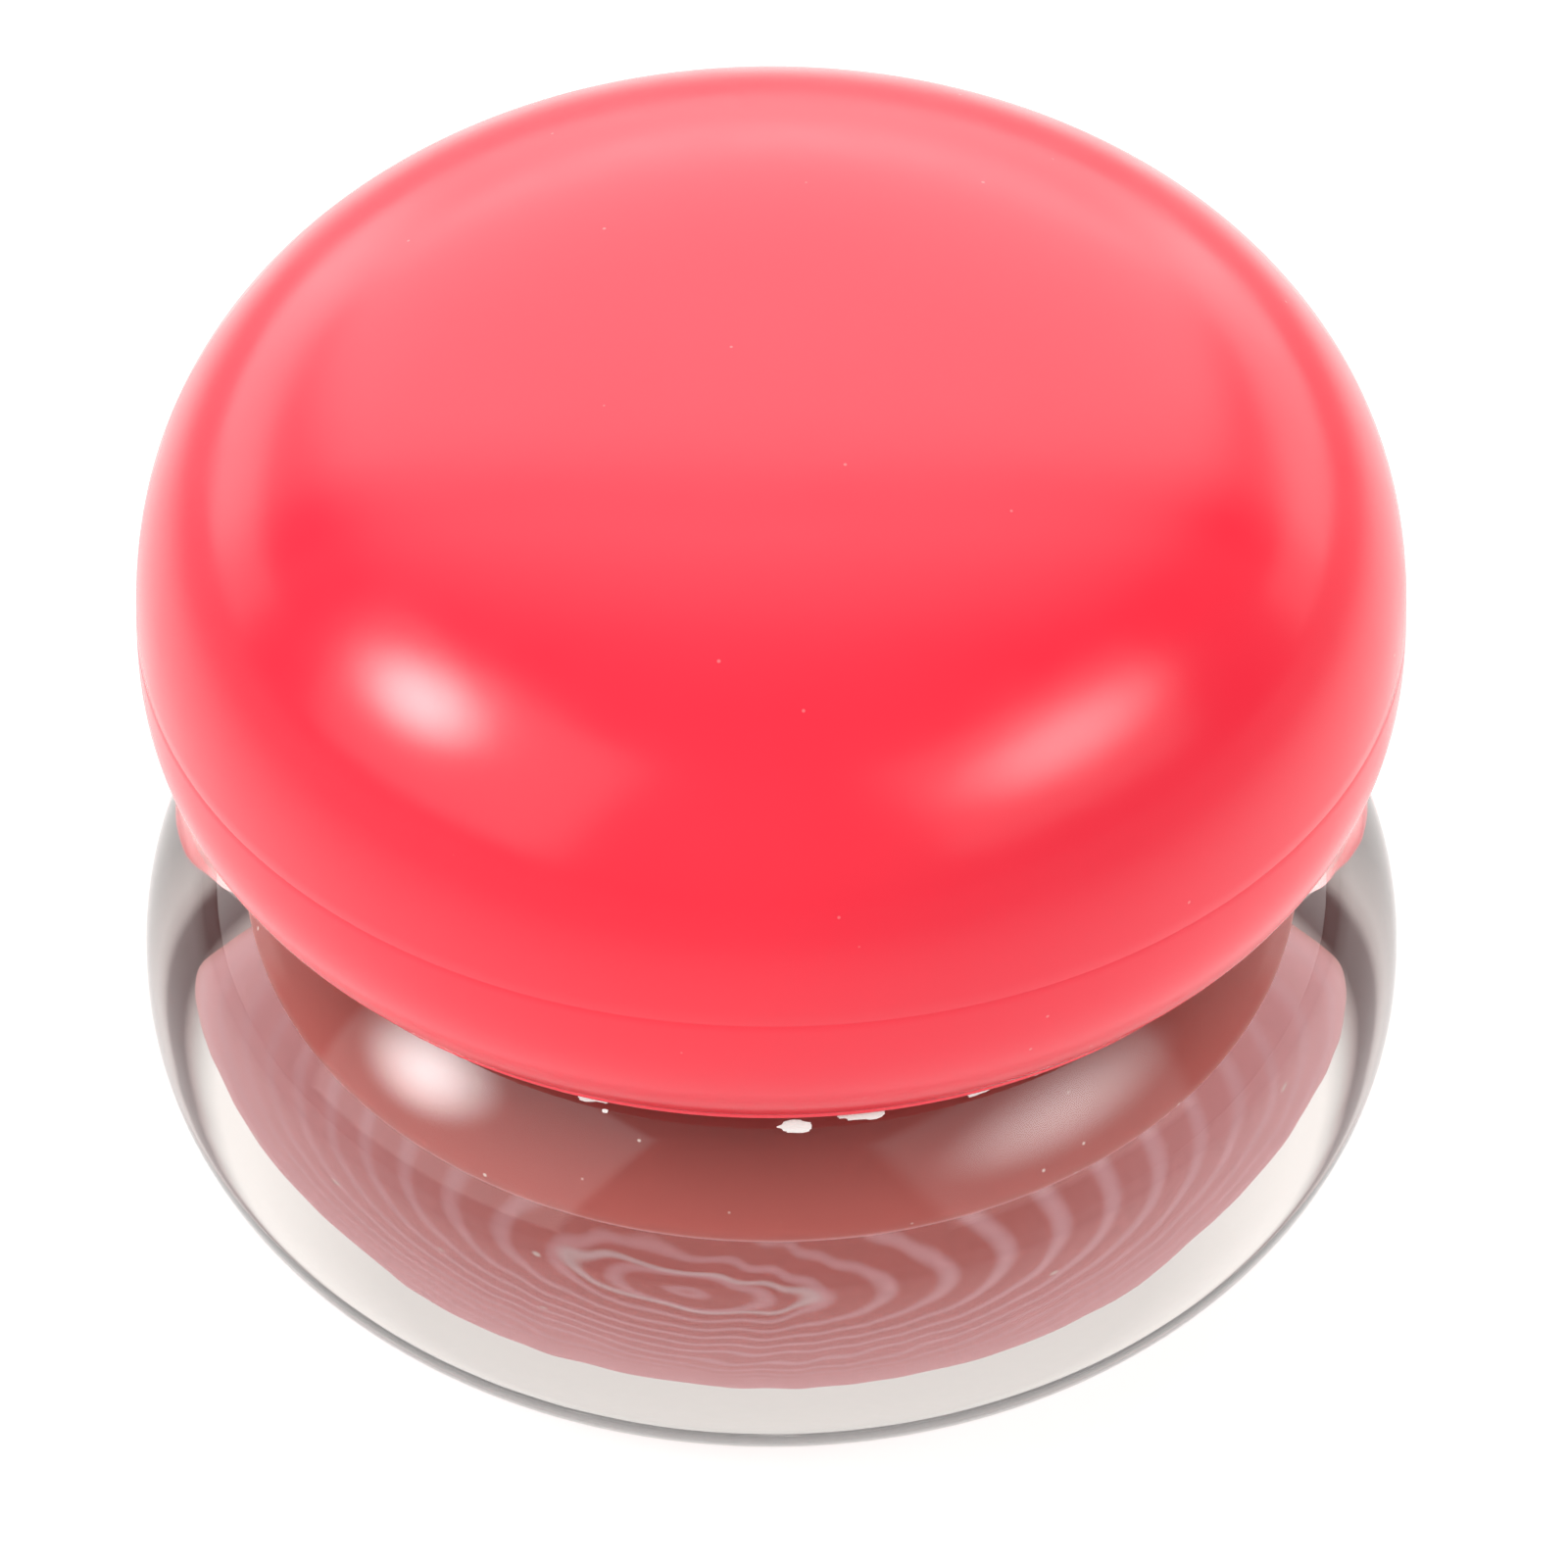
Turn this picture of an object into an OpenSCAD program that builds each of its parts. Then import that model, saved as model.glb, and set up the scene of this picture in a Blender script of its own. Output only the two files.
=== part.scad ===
/* [Cap] */
// Widest diameter of the cap, in mm
cap_d = 50; // [40:0.5:64]
// Height of the dome above the cap's widest circle, in mm
cap_dome_h = 16.1; // [10:0.1:24]
// Depth the cap's lower lobe would reach if it closed, in mm
cap_skirt_h = 11.4; // [8:0.1:16]
// Drop from the cap's widest circle to its rim, in mm
cap_rim_drop = 7.2; // [4:0.1:10]
// Squareness of the dome's curve, where 2 is an ellipse
cap_dome_exp = 2.4; // [2:0.1:4]
// Squareness of the skirt's curve, where 2 is an ellipse
cap_skirt_exp = 2.7; // [2:0.1:4]
// Wall of the cap at the top of its dome, in mm
cap_top_wall = 2.1; // [1:0.1:5]
// Wall of the cap at its widest circle, in mm
cap_side_wall = 3.8; // [1.5:0.1:6]
// Rounding of the cap's rim, in mm
cap_rim_round = 0.35; // [0.1:0.05:0.8]

/* [Jar] */
// Widest diameter of the jar, in mm
jar_d = 50; // [40:0.5:64]
// Height of the jar's widest circle above its base, in mm
jar_mid_h = 9.6; // [6:0.1:16]
// Height from the jar's widest circle to the cap's widest circle, in mm
cap_above_jar = 17.3; // [12:0.1:24]
// Height the jar's upper lobe would reach if it closed, in mm
jar_up_h = 15; // [11:0.1:20]
// Squareness of the jar's upper curve, where 2 is an ellipse
jar_up_exp = 2.1; // [2:0.05:4]
// Depth the jar's lower lobe would reach if it closed, in mm
jar_low_h = 14.5; // [11:0.1:20]
// Squareness of the jar's lower curve, where 2 is an ellipse
jar_low_exp = 2.15; // [2:0.05:4]
// Radius that blends the base into the side, in mm
base_blend = 0.5; // [0.3:0.1:3]
// Outside diameter of the neck below its threads, in mm
neck_d = 37.8; // [30:0.1:50]
// Height of the neck's rim above the base, in mm
neck_top = 27.5; // [22:0.1:34]
// Diameter of the jar's bore, in mm
bore_d = 36.2; // [26:0.1:46]
// Height of the dished floor's middle above the base, in mm
floor_h = 9.8; // [3:0.1:14]
// Rise of the floor from its middle to the bore's wall, in mm
floor_rise = 0.3; // [0.2:0.1:8]
// Rounding of the neck's rim, in mm
neck_round = 0.3; // [0.1:0.05:0.5]

/* [Thread] */
// Number of thread starts
starts = 2; // [1:1:3]
// Distance between neighbouring ridges, in mm
pitch = 3.2; // [2.4:0.1:4.5]
// Height of each ridge, in mm
ridge_h = 0.65; // [0.4:0.05:1]
// Width of each ridge at its root, in mm
ridge_w = 1.5; // [1:0.1:2]
// Width of each ridge at its crest, in mm
ridge_crest = 0.7; // [0.3:0.1:1.2]
// Turns made by each ridge
ridge_turns = 0.6; // [0.4:0.05:1.2]
// Gap between a ridge's crest and the wall it faces, in mm
crest_gap = 0.2; // [0.1:0.05:0.4]

/* [Cap insert] */
// Wall of the insert, in mm
insert_wall = 0.85; // [0.6:0.05:1.5]
// Thickness of the insert's roof, in mm
insert_roof = 1; // [0.6:0.1:2]
// Gap between the insert and the cap, in mm
insert_gap = 0.08; // [0.02:0.01:0.1]
// Height of the insert's rim above the cap's rim, in mm
insert_raise = 0.25; // [0:0.05:1]
// Radius of the snap bead round the insert, in mm
bead_r = 0.4; // [0.2:0.05:0.6]

/* [Liner and seal] */
// Thickness of the foam liner, in mm
liner_t = 1; // [0.5:0.1:2]
// Gap between stacked parts that move apart, in mm
stack_gap = 0.1; // [0.05:0.05:0.3]
// Thickness of the sealing disc, in mm
seal_t = 0.8; // [0.5:0.1:1.2]
// Gap between the sealing disc's plug and the bore, in mm
plug_gap = 0.3; // [0.1:0.05:0.5]
// Depth of the sealing disc's plug below the neck's rim, in mm
plug_depth = 2.9; // [1.5:0.1:5]
// Depth of the disc's face below the neck's rim, in mm
seal_recess = 1.5; // [0.8:0.1:3]
// Length of the pull tab, in mm
tab_l = 13; // [8:0.5:20]
// Width of the pull tab, in mm
tab_w = 8; // [5:0.5:12]

/* [Friction ball] */
// Height of the mass at the wall, above the base, in mm
fill_edge_h = 16.9; // [10:0.1:24]
// Rise of the mass from its edge to its middle, in mm
fill_crown = 0.8; // [0:0.1:5]
// Gap between the mass and the jar, in mm
fill_gap = 0.02; // [0.01:0.01:0.1]

/* [Hidden] */
$fn = 160;
// points along each quarter of a curve
curve_n = 30;
round_n = 6;
blend_n = 8;
crown_n = 14;
bowl_n = 24;
// degrees per step of a ridge, and the length over which its ends fade
ridge_step = 9;
ridge_fade = 27;
ridge_root = 0.3;
thread_base = 2.6;

cap_r = cap_d / 2;
jar_r = jar_d / 2;
neck_r = neck_d / 2;
bore_r = bore_d / 2;
cap_mid_z = jar_mid_h + cap_above_jar;
cap_rim_z = cap_mid_z - cap_rim_drop;
lead = pitch * starts;

// lines and angles on a lobe (r / a)^p + (z / h)^p = 1
function lobe_r(a, h, p, z) = a * pow(1 - pow(abs(z) / h, p), 1 / p);
function lobe_z(a, h, p, r) = h * pow(1 - pow(r / a, p), 1 / p);
function lobe_turn(h, p, z) = asin(pow(abs(z) / h, p / 2));
function lobe_at(a, h, p, t) = [a * pow(cos(t), 2 / p), h * pow(sin(t), 2 / p)];
function lobe_slope(a, h, p, r, z) = atan2(pow(abs(z) / h, p - 1) / h, pow(r / a, p - 1) / a);

// base of the jar: where the lobe meets the floor and the arc that blends the two
base_r = lobe_r(jar_r, jar_low_h, jar_low_exp, jar_mid_h);
base_turn = 90 - lobe_slope(jar_r, jar_low_h, jar_low_exp, base_r, jar_mid_h);
blend_in = base_blend * tan(base_turn / 2);
blend_top = base_blend * (1 - cos(base_turn));

// neck and its shoulder
shoulder_round = 0.4;
shoulder_r = neck_r + shoulder_round;
shoulder_z = jar_mid_h + lobe_z(jar_r, jar_up_h, jar_up_exp, shoulder_r);
thread_z = shoulder_z + thread_base;

// cap insert, outwards from the neck's ridges
insert_in_r = neck_r + ridge_h + crest_gap;
insert_out_r = insert_in_r + insert_wall;
socket_r = insert_out_r + insert_gap;
insert_low_z = cap_rim_z + insert_raise;
bead_z = cap_rim_z + cap_rim_drop * 0.6;

// the stack on the neck's rim
seal_top = neck_top + stack_gap + seal_t;
liner_low = seal_top + stack_gap;
liner_top = liner_low + liner_t;
roof_low = liner_top + stack_gap;
roof_top = roof_low + insert_roof;
plug_r = bore_r - plug_gap;
seal_face = neck_top - seal_recess;
tab_t = 0.8;
tab_post = 2;
tab_gap = 0.6;

// hollow of the dome
hollow_r = cap_r - cap_side_wall;
hollow_h = cap_dome_h - cap_top_wall;
hollow_z = roof_top + insert_gap;
hollow_start = hollow_z - cap_mid_z;

module jar_body() {
  color([0.93, 0.95, 0.96, 0.35])
  union() {
    rotate_extrude() polygon(jar_section());
    neck_ridges();
  }
}

function jar_section() = concat(
  [[0, 0]],
  [for (i = [0:blend_n]) base_arc(base_turn * i / blend_n)],
  jar_lower(),
  jar_upper(),
  neck_outside(),
  bowl_floor(bore_r, floor_h)
);

function base_arc(t) = [
  base_r - blend_in + base_blend * sin(t),
  base_blend * (1 - cos(t))
];

function jar_lower() =
  let (t0 = lobe_turn(jar_low_h, jar_low_exp, jar_mid_h - blend_top))
  [for (i = [1:curve_n])
    let (q = lobe_at(jar_r, jar_low_h, jar_low_exp, t0 * (1 - i / curve_n)))
    [q[0], jar_mid_h - q[1]]];

function jar_upper() =
  let (t1 = lobe_turn(jar_up_h, jar_up_exp, shoulder_z - jar_mid_h))
  [for (i = [1:curve_n])
    let (q = lobe_at(jar_r, jar_up_h, jar_up_exp, t1 * i / curve_n))
    [q[0], jar_mid_h + q[1]]];

function neck_outside() = concat(
  [for (i = [1:round_n])
    let (t = 90 * i / round_n)
    [shoulder_r - shoulder_round * sin(t), shoulder_z + shoulder_round * (1 - cos(t))]],
  [for (i = [0:round_n])
    let (t = 90 * i / round_n)
    [neck_r - neck_round * (1 - cos(t)), neck_top - neck_round * (1 - sin(t))]],
  [for (i = [0:round_n])
    let (t = 90 * i / round_n)
    [bore_r + neck_round * (1 - sin(t)), neck_top - neck_round * (1 - cos(t))]]
);

// quarter ellipse from the wall down to the middle of the floor
function bowl_floor(r, z) = [
  for (i = [0:bowl_n])
    let (t = 90 * i / bowl_n)
    [r * cos(t), z + floor_rise * (1 - sin(t))]
];

// external ridges, right-handed, rising from just above the shoulder
module neck_ridges() {
  for (k = [0:starts - 1])
    rotate([0, 0, 360 * k / starts])
    ridge(neck_r, 1, thread_z, ridge_turns);
}

// internal ridges run half a pitch below, so they pull the cap down
module insert_ridges() {
  for (k = [0:starts - 1])
    rotate([0, 0, 360 * k / starts])
    ridge(insert_in_r, -1, thread_z - pitch / 2, ridge_turns);
}

module ridge(wall_r, side, low_z, turns) {
  n = round(360 * turns / ridge_step);
  step = 360 * turns / n;
  points = [for (i = [0:n]) each ridge_ring(wall_r, side, low_z, step * i, 360 * turns)];
  sides = [for (i = [0:n - 1]) each ridge_faces(4 * i, side)];
  ends = side > 0
    ? [[3, 2, 1, 0], [4 * n, 4 * n + 1, 4 * n + 2, 4 * n + 3]]
    : [[0, 1, 2, 3], [4 * n + 3, 4 * n + 2, 4 * n + 1, 4 * n]];
  polyhedron(points, concat(sides, ends), convexity = 6);
}

// root low, crest low, crest high, root high at one angle along a ridge
function ridge_ring(wall_r, side, low_z, a, total) =
  let (
    fade = min(1, min(a, total - a) / ridge_fade + 0.12),
    z = low_z + lead * a / 360,
    root = wall_r - side * ridge_root,
    crest = wall_r + side * ridge_h * fade,
    w = ridge_w / 2,
    c = ridge_crest / 2
  )
  [
    [root * cos(a), root * sin(a), z - w],
    [crest * cos(a), crest * sin(a), z - c],
    [crest * cos(a), crest * sin(a), z + c],
    [root * cos(a), root * sin(a), z + w]
  ];

function ridge_faces(b, side) = [
  for (j = [0:3])
    for (t = [0, 1])
      let (
        p = b + j,
        q = b + (j + 1) % 4,
        f = t == 0 ? [p, q, q + 4] : [p, q + 4, p + 4]
      )
      side > 0 ? [f[2], f[1], f[0]] : f
];

module friction_ball() {
  color([0.42, 0.16, 0.14])
  rotate_extrude() polygon(ball_section());
}

function ball_section() =
  let (
    r = bore_r - fill_gap,
    bowl = bowl_floor(r, floor_h + fill_gap)
  )
  concat(
    [for (i = [bowl_n:-1:0]) bowl[i]],
    [for (i = [0:crown_n])
      let (t = 90 * i / crown_n)
      [r * cos(t), fill_edge_h + fill_crown * sin(t)]]
  );

module seal_disc() {
  color([0.9, 0.9, 0.88])
  union() {
    rotate_extrude() polygon(seal_section());
    seal_tab();
  }
}

// plug skirt, flange on the rim, and a face sunk below it
function seal_section() = [
  [0, seal_face - seal_t],
  [plug_r - seal_t, seal_face - seal_t],
  [plug_r - seal_t, neck_top - plug_depth],
  [plug_r - seal_t / 3, neck_top - plug_depth],
  [plug_r, neck_top - plug_depth + seal_t],
  [plug_r, neck_top + stack_gap],
  [neck_r, neck_top + stack_gap],
  [neck_r, seal_top],
  [plug_r - seal_t, seal_top],
  [plug_r - seal_t, seal_face],
  [0, seal_face]
];

// tongue held above the face by a post at one end
module seal_tab() {
  translate([-tab_l / 2, -tab_w / 2, seal_face - seal_t / 2])
    cube([tab_post, tab_w, seal_t / 2 + tab_gap + tab_t]);
  translate([-tab_l / 2, -tab_w / 2, seal_face + tab_gap])
    cube([tab_l - tab_w / 2, tab_w, tab_t]);
  translate([tab_l / 2 - tab_w / 2, 0, seal_face + tab_gap])
    cylinder(h = tab_t, r = tab_w / 2);
}

module cap_liner() {
  liner_r = insert_in_r - plug_gap;
  color([0.96, 0.96, 0.94])
  translate([0, 0, liner_low]) cylinder(h = liner_t, r = liner_r);
}

module cap_insert() {
  color([0.95, 0.95, 0.93])
  union() {
    rotate_extrude() polygon([
      [insert_in_r, insert_low_z],
      [insert_out_r, insert_low_z],
      [insert_out_r, roof_top],
      [0, roof_top],
      [0, roof_low],
      [insert_in_r, roof_low]
    ]);
    rotate_extrude() translate([insert_out_r, bead_z]) circle(r = bead_r, $fn = 24);
    insert_ridges();
  }
}

module cap_shell() {
  color([0.93, 0.24, 0.3])
  difference() {
    rotate_extrude() polygon(shell_section());
    rotate_extrude() translate([insert_out_r, bead_z]) circle(r = bead_r + insert_gap, $fn = 24);
  }
}

function shell_section() = concat(
  [[socket_r, cap_rim_z + cap_rim_round]],
  [for (i = [1:round_n])
    let (t = 90 * i / round_n)
    [socket_r + cap_rim_round * (1 - cos(t)), cap_rim_z + cap_rim_round * (1 - sin(t))]],
  rim_outside(),
  skirt_outside(),
  dome_curve(cap_r, cap_dome_h, 0),
  hollow_inside()
);

// outer corner of the rim, rounded into the skirt
function rim_outside() =
  let (
    top_z = cap_rim_z + cap_rim_round,
    r = lobe_r(cap_r, cap_skirt_h, cap_skirt_exp, cap_mid_z - top_z)
  )
  [for (i = [0:round_n - 1])
    let (t = 90 * i / round_n)
    [r - cap_rim_round * (1 - sin(t)), top_z - cap_rim_round * cos(t)]];

function skirt_outside() =
  let (t0 = lobe_turn(cap_skirt_h, cap_skirt_exp, cap_rim_drop - cap_rim_round))
  [for (i = [0:curve_n])
    let (q = lobe_at(cap_r, cap_skirt_h, cap_skirt_exp, t0 * (1 - i / curve_n)))
    [q[0], cap_mid_z - q[1]]];

function dome_curve(r, h, t0) =
  [for (i = [1:curve_n])
    let (
      t = t0 + (90 - t0) * i / curve_n,
      q = i == curve_n ? [0, h] : lobe_at(r, h, cap_dome_exp, t)
    )
    [q[0], cap_mid_z + q[1]]];

// the dome's hollow from its top down to the ledge above the socket
function hollow_inside() =
  let (t0 = lobe_turn(hollow_h, cap_dome_exp, hollow_start))
  concat(
    [[0, cap_mid_z + hollow_h]],
    [for (i = [curve_n - 1:-1:0])
      let (q = lobe_at(hollow_r, hollow_h, cap_dome_exp, t0 + (90 - t0) * i / curve_n))
      [q[0], cap_mid_z + q[1]]],
    [[socket_r, hollow_z]]
  );

jar_body();
friction_ball();
seal_disc();
cap_liner();
cap_insert();
cap_shell();
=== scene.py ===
"""Friction ball in a clear thick-walled pot with a glossy coral cap, built round the CAD frame."""

import math

import bmesh
import bpy
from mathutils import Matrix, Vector, noise


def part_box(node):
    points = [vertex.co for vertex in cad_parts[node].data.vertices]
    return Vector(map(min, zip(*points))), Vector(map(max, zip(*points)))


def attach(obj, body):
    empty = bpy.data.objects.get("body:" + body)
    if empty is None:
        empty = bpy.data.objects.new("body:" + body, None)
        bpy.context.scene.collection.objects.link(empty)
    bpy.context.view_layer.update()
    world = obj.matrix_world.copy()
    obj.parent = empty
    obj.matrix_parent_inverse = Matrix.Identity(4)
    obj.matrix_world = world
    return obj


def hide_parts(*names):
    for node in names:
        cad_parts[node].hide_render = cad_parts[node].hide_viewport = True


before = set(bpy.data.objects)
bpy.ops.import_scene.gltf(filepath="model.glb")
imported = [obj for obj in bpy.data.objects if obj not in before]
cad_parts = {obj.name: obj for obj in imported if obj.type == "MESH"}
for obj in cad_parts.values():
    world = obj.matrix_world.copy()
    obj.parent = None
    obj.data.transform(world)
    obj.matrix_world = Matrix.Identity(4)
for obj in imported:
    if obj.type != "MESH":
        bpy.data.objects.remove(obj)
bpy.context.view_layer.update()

MM = 0.001


# ---------------------------------------------------------------- sizes, in millimetres


def box_mm(node):
    """Lowest and highest corner of a CAD node, in millimetres."""
    low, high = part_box(node)
    return low / MM, high / MM


SHELL_LOW, SHELL_HIGH = box_mm("cap_shell")
JAR_HIGH = box_mm("jar_body")[1]
BALL_LOW, BALL_HIGH = box_mm("friction_ball")
SEAL_LOW, SEAL_HIGH = box_mm("seal_disc")
LINER_LOW, LINER_HIGH = box_mm("cap_liner")
INSERT_LOW, INSERT_HIGH = box_mm("cap_insert")

CAP_R = SHELL_HIGH.x
CAP_TOP_Z = SHELL_HIGH.z
CAP_RIM_Z = SHELL_LOW.z
CAP_RIM_DROP = 7.2
CAP_MID_Z = CAP_RIM_Z + CAP_RIM_DROP
CAP_DOME_H = CAP_TOP_Z - CAP_MID_Z
CAP_SKIRT_H = 11.4
CAP_DOME_EXP = 2.4
CAP_SKIRT_EXP = 2.7
CAP_TOP_WALL = 2.1
CAP_SIDE_WALL = 3.8
CAP_RIM_ROUND = 0.35

JAR_R = JAR_HIGH.x
JAR_MID_Z = 9.6
JAR_LOW_H = 14.5
JAR_LOW_EXP = 2.15
JAR_UP_H = 15.0
JAR_UP_EXP = 2.1
BASE_BLEND = 0.5
NECK_TOP = JAR_HIGH.z
NECK_R = SEAL_HIGH.x
NECK_ROUND = 0.3
SHOULDER_ROUND = 0.4
FILL_GAP = 0.02
BORE_R = BALL_HIGH.x + FILL_GAP
FLOOR_Z = BALL_LOW.z - FILL_GAP
CORNER_R = 1.0

THREAD_STARTS = 2
THREAD_PITCH = 3.2
THREAD_LEAD = THREAD_PITCH * THREAD_STARTS
THREAD_TURNS = 0.6
THREAD_BASE = 2.6
RIDGE_H = 0.65
RIDGE_W = 1.5
RIDGE_CREST = 0.7
RIDGE_FADE = 27.0
CREST_GAP = 0.2

INSERT_IN_R = NECK_R + RIDGE_H + CREST_GAP
INSERT_WALL = 0.85
INSERT_OUT_R = INSERT_IN_R + INSERT_WALL
INSERT_GAP = 0.08
SOCKET_R = INSERT_OUT_R + INSERT_GAP
INSERT_ROOF = 1.0

BEAD_R, BEAD_UP = 0.4, 0.6 * CAP_RIM_DROP

SEAL_WALL, SEAL_PLUG_GAP, SEAL_SUNK = 0.8, 0.3, 1.5
TAB_L, TAB_W, TAB_T = 13.0, 8.0, 0.8
TAB_POST, TAB_GAP, TAB_INSET = 2.0, 0.6, 0.05
TAB_EDGE, POST_EDGE, LINER_EDGE = 0.12, 0.1, 0.12

BALL_CROWN = 1.25
BALL_EDGE_Z = BALL_HIGH.z - BALL_CROWN
LIP_H = 2.6
LUMPS = ((0.22, 0.175), (0.7, 0.06))
RAGGED = ((0.5, 1.0), (1.3, 0.5))
POCKET_DEPTH, POCKET_RISE, POCKET_START, POCKET_RAGGED = 0.5, 1.5, 1.3, 0.8
DRY_AT, DRY_SPAN, DRY_PULL = math.radians(300), math.radians(28), 0.3

UNDER_FROM, UNDER_TO = 0.15, 0.5
PALE_FROM_R, PALE_TO_R = 10.5, 17.5
RING_PITCH = 1.1
MARK_X, MARK_Y, MARK_R = -1.5, 9.9, 2.2
MARK_LINE, MARK_BLUR = 0.08, 0.3
GATE_X, GATE_Y, GATE_R = -2.5, -2.6, 3.5
GROOVES_R, GROOVE_PITCH = 9.0, 0.9
SEAM_DEPTH, SEAM_HALF = 0.007, 0.03
EDGE_R = 0.15

SEGMENTS = 288
CURVE_STEPS = 48
ROUND_STEPS = 8


# ---------------------------------------------------------------- outlines


def lobe_r(a, h, p, z):
    """Radius of the lobe (r / a)^p + (z / h)^p = 1 at height z from its widest circle."""
    return a * (1 - (abs(z) / h) ** p) ** (1 / p)


def lobe_z(a, h, p, r):
    """Height of the same lobe at radius r, above its widest circle."""
    return h * (1 - (r / a) ** p) ** (1 / p)


def lobe_at(a, h, p, t):
    """Point of a lobe's quarter, with t from 0 at its widest circle to a right angle at its pole."""
    return a * max(0.0, math.cos(t)) ** (2 / p), h * max(0.0, math.sin(t)) ** (2 / p)


def lobe_turn(h, p, z):
    """The t at which lobe_at reaches height z, above or below the widest circle."""
    return math.asin((abs(z) / h) ** (p / 2))


def arc(r, z, radius_r, radius_z, start, end, steps=ROUND_STEPS):
    """Points of an elliptical arc round (r, z), between two angles in degrees."""
    angles = [math.radians(start + (end - start) * i / steps) for i in range(steps + 1)]
    return [(r + radius_r * math.cos(a), z + radius_z * math.sin(a)) for a in angles]


def lobe_run(a, h, p, middle, side, z_from, z_to, steps=CURVE_STEPS):
    """Points along one side of a lobe, from one height above or below its widest circle to another."""
    t_from, t_to = lobe_turn(h, p, z_from), lobe_turn(h, p, z_to)
    run = []
    for i in range(steps + 1):
        r, z = lobe_at(a, h, p, t_from + (t_to - t_from) * i / steps)
        run.append((r, middle + side * z))
    return run


def straight(start, end, steps):
    """Points between two ends of a straight stretch, without the ends."""
    return [
        tuple(a + (b - a) * i / steps for a, b in zip(start, end)) for i in range(1, steps)
    ]


# ---------------------------------------------------------------- mesh building


def make_mesh(name, points, faces, sharp=40.0):
    """A smooth-shaded object from points in millimetres. Edges of more than sharp degrees stay sharp."""
    mesh = bpy.data.meshes.new(name)
    mesh.from_pydata([Vector(p) * MM for p in points], [], faces)
    mesh.update()
    mesh.polygons.foreach_set("use_smooth", [True] * len(mesh.polygons))
    mesh.set_sharp_from_angle(angle=math.radians(sharp))
    obj = bpy.data.objects.new(name, mesh)
    bpy.context.scene.collection.objects.link(obj)
    return obj


def revolve(name, outline, shape=None, sharp=40.0):
    """Turns an outline of (r, z) points, listed with the solid on their left, about the axis.
    An outline that starts and ends on the axis closes there; any other closes on itself.
    shape(angle, r, z) may move a point within its half plane."""
    points, faces, rings = [], [], []
    for r, z in outline:
        if r < 1e-6:
            rings.append([len(points)] * SEGMENTS)
            points.append((0.0, 0.0, z if shape is None else shape(0.0, 0.0, z)[1]))
            continue
        ring = []
        for k in range(SEGMENTS):
            angle = 2 * math.pi * k / SEGMENTS
            pr, pz = (r, z) if shape is None else shape(angle, r, z)
            ring.append(len(points))
            points.append((pr * math.cos(angle), pr * math.sin(angle), pz))
        rings.append(ring)
    open_ends = outline[0][0] < 1e-6
    pairs = list(zip(rings, rings[1:])) + ([] if open_ends else [(rings[-1], rings[0])])
    for low, high in pairs:
        for k in range(SEGMENTS):
            n = (k + 1) % SEGMENTS
            corners = [low[k], low[n], high[n], high[k]]
            face = list(dict.fromkeys(corners))
            if len(face) > 2:
                faces.append(face)
    return make_mesh(name, points, faces, sharp)


def slab(name, corners, low_z, high_z, edge):
    """A flat plate with the given outline, listed anticlockwise, and eased edges."""
    count = len(corners)
    inner = []
    for i in range(count):
        before, here, after = (Vector(corners[k % count]) for k in (i - 1, i, i + 1))
        along_in, along_out = (here - before).normalized(), (after - here).normalized()
        inward = Vector((-along_in.y - along_out.y, along_in.x + along_out.x)).normalized()
        reach = edge / max(0.5, inward.dot(Vector((-along_in.y, along_in.x))))
        inner.append(here + inward * reach)
    levels = [(inner, low_z), (corners, low_z + edge), (corners, high_z - edge), (inner, high_z)]
    points = [(x, y, z) for ring, z in levels for x, y in ring]
    faces = [tuple(reversed(range(count))), tuple(range(3 * count, 4 * count))]
    for level in range(3):
        for i in range(count):
            a, b = level * count + i, level * count + (i + 1) % count
            faces.append((a, b, b + count, a + count))
    return make_mesh(name, points, faces, 50.0)


def merge(obj, *others):
    """Adds other objects' meshes to one object's mesh."""
    mesh = bmesh.new()
    for part in (obj, *others):
        mesh.from_mesh(part.data)
    mesh.to_mesh(obj.data)
    mesh.free()
    for part in others:
        bpy.data.objects.remove(part)
    return obj


def ridge(angle, z, low_z):
    """Height of the helical ridges at one place on a wall, from 0 to RIDGE_H."""
    total = 360.0 * THREAD_TURNS
    best = 0.0
    for k in range(THREAD_STARTS):
        along = (math.degrees(angle) - 360.0 * k / THREAD_STARTS) % 360.0
        if along > total:
            continue
        fade = min(1.0, min(along, total - along) / RIDGE_FADE)
        off = abs(z - low_z - THREAD_LEAD * along / 360.0)
        slope = (RIDGE_W / 2 - off) / (RIDGE_W / 2 - RIDGE_CREST / 2)
        best = max(best, RIDGE_H * fade * min(1.0, max(0.0, slope)))
    return best


# ---------------------------------------------------------------- node materials


def set_range(node, low, high, out_low, out_high):
    """Fills in a Map Range node."""
    names = ("From Min", "From Max", "To Min", "To Max")
    for name, number in zip(names, (low, high, out_low, out_high)):
        node.inputs[name].default_value = number


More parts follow.
